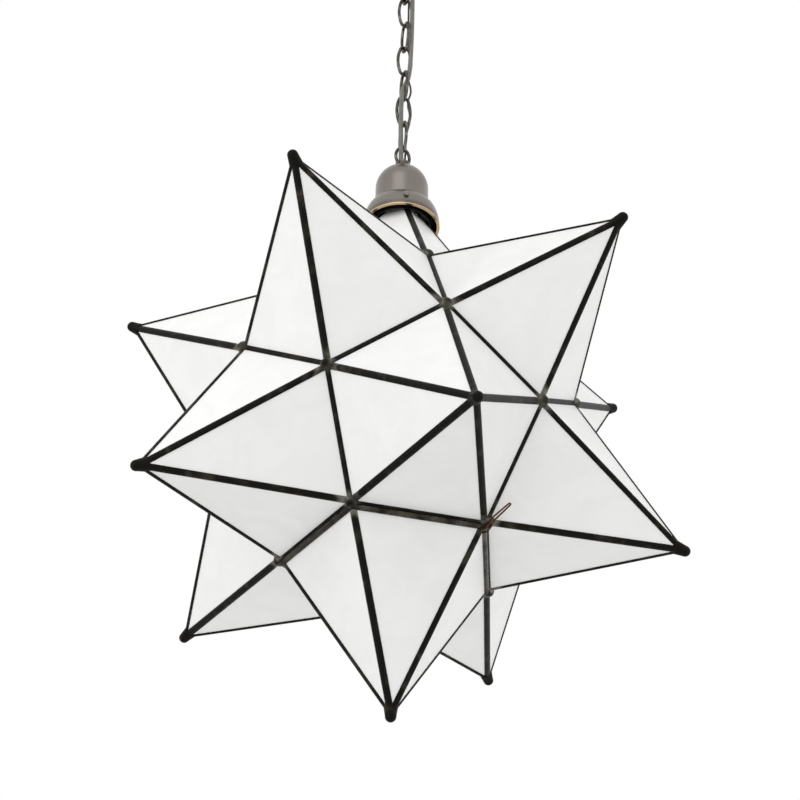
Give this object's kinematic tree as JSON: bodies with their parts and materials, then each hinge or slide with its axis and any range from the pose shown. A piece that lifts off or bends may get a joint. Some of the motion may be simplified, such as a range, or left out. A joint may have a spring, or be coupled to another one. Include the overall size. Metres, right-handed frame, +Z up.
{
  "type": "moravian star pendant",
  "caption": "Hanging star lantern of glass points in dark soldered came, with a domed cap, chain, cord, canopy and hinged door.",
  "frame": {"origin": "centre of the canopy in the ceiling plane", "axes": "+Z up; the crossbar's screws lie along X"},
  "size_m": [0.4756, 0.4714, 0.8657],
  "materials": {
    "frosted_glass": "satin",
    "lead_came": "satin",
    "nickel": "satin",
    "black_metal": "satin",
    "brass": "satin",
    "copper_wire": "satin",
    "bulb_glass": "satin",
    "cord_cover": "matte",
    "phenolic": "satin"
  },
  "bodies": {
    "ceiling_fitting": {"canopy": "nickel", "crossbar": "nickel", "canopy_nipple": "nickel", "nipple_nut": "nickel", "canopy_loop": "nickel", "pendant_cord": "cord_cover", "ground_wire": "cord_cover"},
    "link_1": {"chain_link_1": "nickel"},
    "link_2": {"chain_link_2": "nickel"},
    "link_3": {"chain_link_3": "nickel"},
    "link_4": {"chain_link_4": "nickel"},
    "link_5": {"chain_link_5": "nickel"},
    "link_6": {"chain_link_6": "nickel"},
    "link_7": {"chain_link_7": "nickel"},
    "star": {"cap_loop": "nickel", "cap": "nickel", "cap_set_screws": "nickel", "lamp_pipe": "nickel", "pipe_nuts": "nickel", "top_collar": "black_metal", "socket_cap": "phenolic", "socket_shell": "phenolic", "socket_screw_shell": "brass", "socket_contact": "brass", "valley_seams": "lead_came", "hinge_fixed_knuckles": "lead_came", "hinge_pin": "nickel", "catch_stud": "copper_wire", "top_point_glass": "frosted_glass", "upper_point_1_glass": "frosted_glass", "upper_point_2_glass": "frosted_glass", "upper_point_3_glass": "frosted_glass", "upper_point_4_glass": "frosted_glass", "upper_point_5_glass": "frosted_glass", "lower_point_1_glass": "frosted_glass", "lower_point_2_glass": "frosted_glass", "lower_point_3_glass": "frosted_glass", "lower_point_4_glass": "frosted_glass", "lower_point_5_glass": "frosted_glass", "top_point_ridges": "lead_came", "upper_point_1_ridges": "lead_came", "upper_point_2_ridges": "lead_came", "upper_point_3_ridges": "lead_came", "upper_point_4_ridges": "lead_came", "upper_point_5_ridges": "lead_came", "lower_point_1_ridges": "lead_came", "lower_point_2_ridges": "lead_came", "lower_point_3_ridges": "lead_came", "lower_point_4_ridges": "lead_came", "lower_point_5_ridges": "lead_came"},
    "door": {"door_glass": "frosted_glass", "door_ridges": "lead_came", "door_frame": "lead_came", "hinge_door_knuckle": "lead_came", "catch_loop": "copper_wire"},
    "bulb": {"bulb_glass": "bulb_glass", "bulb_base": "brass"}
  },
  "joints": [
    {"name": "link_1_swing", "type": "hinge", "parent": "ceiling_fitting", "child": "link_1", "pos_m": [0, 0, -0.0596], "axis": [1, 0, 0], "range_deg": [-12, 12], "deforming": ["pendant_cord", "ground_wire"]},
    {"name": "link_2_swing", "type": "hinge", "parent": "link_1", "child": "link_2", "pos_m": [0, 0, -0.0916], "axis": [0, 1, 0], "range_deg": [-12, 12], "deforming": ["pendant_cord", "ground_wire"]},
    {"name": "link_3_swing", "type": "hinge", "parent": "link_2", "child": "link_3", "pos_m": [0, 0, -0.1236], "axis": [1, 0, 0], "range_deg": [-12, 12], "deforming": ["pendant_cord", "ground_wire"]},
    {"name": "link_4_swing", "type": "hinge", "parent": "link_3", "child": "link_4", "pos_m": [0, 0, -0.1556], "axis": [0, 1, 0], "range_deg": [-12, 12], "deforming": ["pendant_cord", "ground_wire"]},
    {"name": "link_5_swing", "type": "hinge", "parent": "link_4", "child": "link_5", "pos_m": [0, 0, -0.1876], "axis": [1, 0, 0], "range_deg": [-12, 12], "deforming": ["pendant_cord", "ground_wire"]},
    {"name": "link_6_swing", "type": "hinge", "parent": "link_5", "child": "link_6", "pos_m": [0, 0, -0.2196], "axis": [0, 1, 0], "range_deg": [-12, 12], "deforming": ["pendant_cord", "ground_wire"]},
    {"name": "link_7_swing", "type": "hinge", "parent": "link_6", "child": "link_7", "pos_m": [0, 0, -0.2516], "axis": [1, 0, 0], "range_deg": [-12, 12], "deforming": ["pendant_cord", "ground_wire"]},
    {"name": "star_swing", "type": "hinge", "parent": "link_7", "child": "star", "pos_m": [0, 0, -0.2836], "axis": [0, 1, 0], "range_deg": [-12, 12], "deforming": ["pendant_cord", "ground_wire"]},
    {"name": "door_hinge", "type": "hinge", "parent": "star", "child": "door", "pos_m": [-0.03356, 0.07068, -0.72481], "axis": [0.9033, 0.4289, 0], "range_deg": [0, 100]},
    {"name": "bulb_screw", "type": "hinge", "parent": "star", "child": "bulb", "pos_m": [0, 0, -0.42], "axis": [0, 0, -1], "range_deg": [0, 900]}
  ]
}
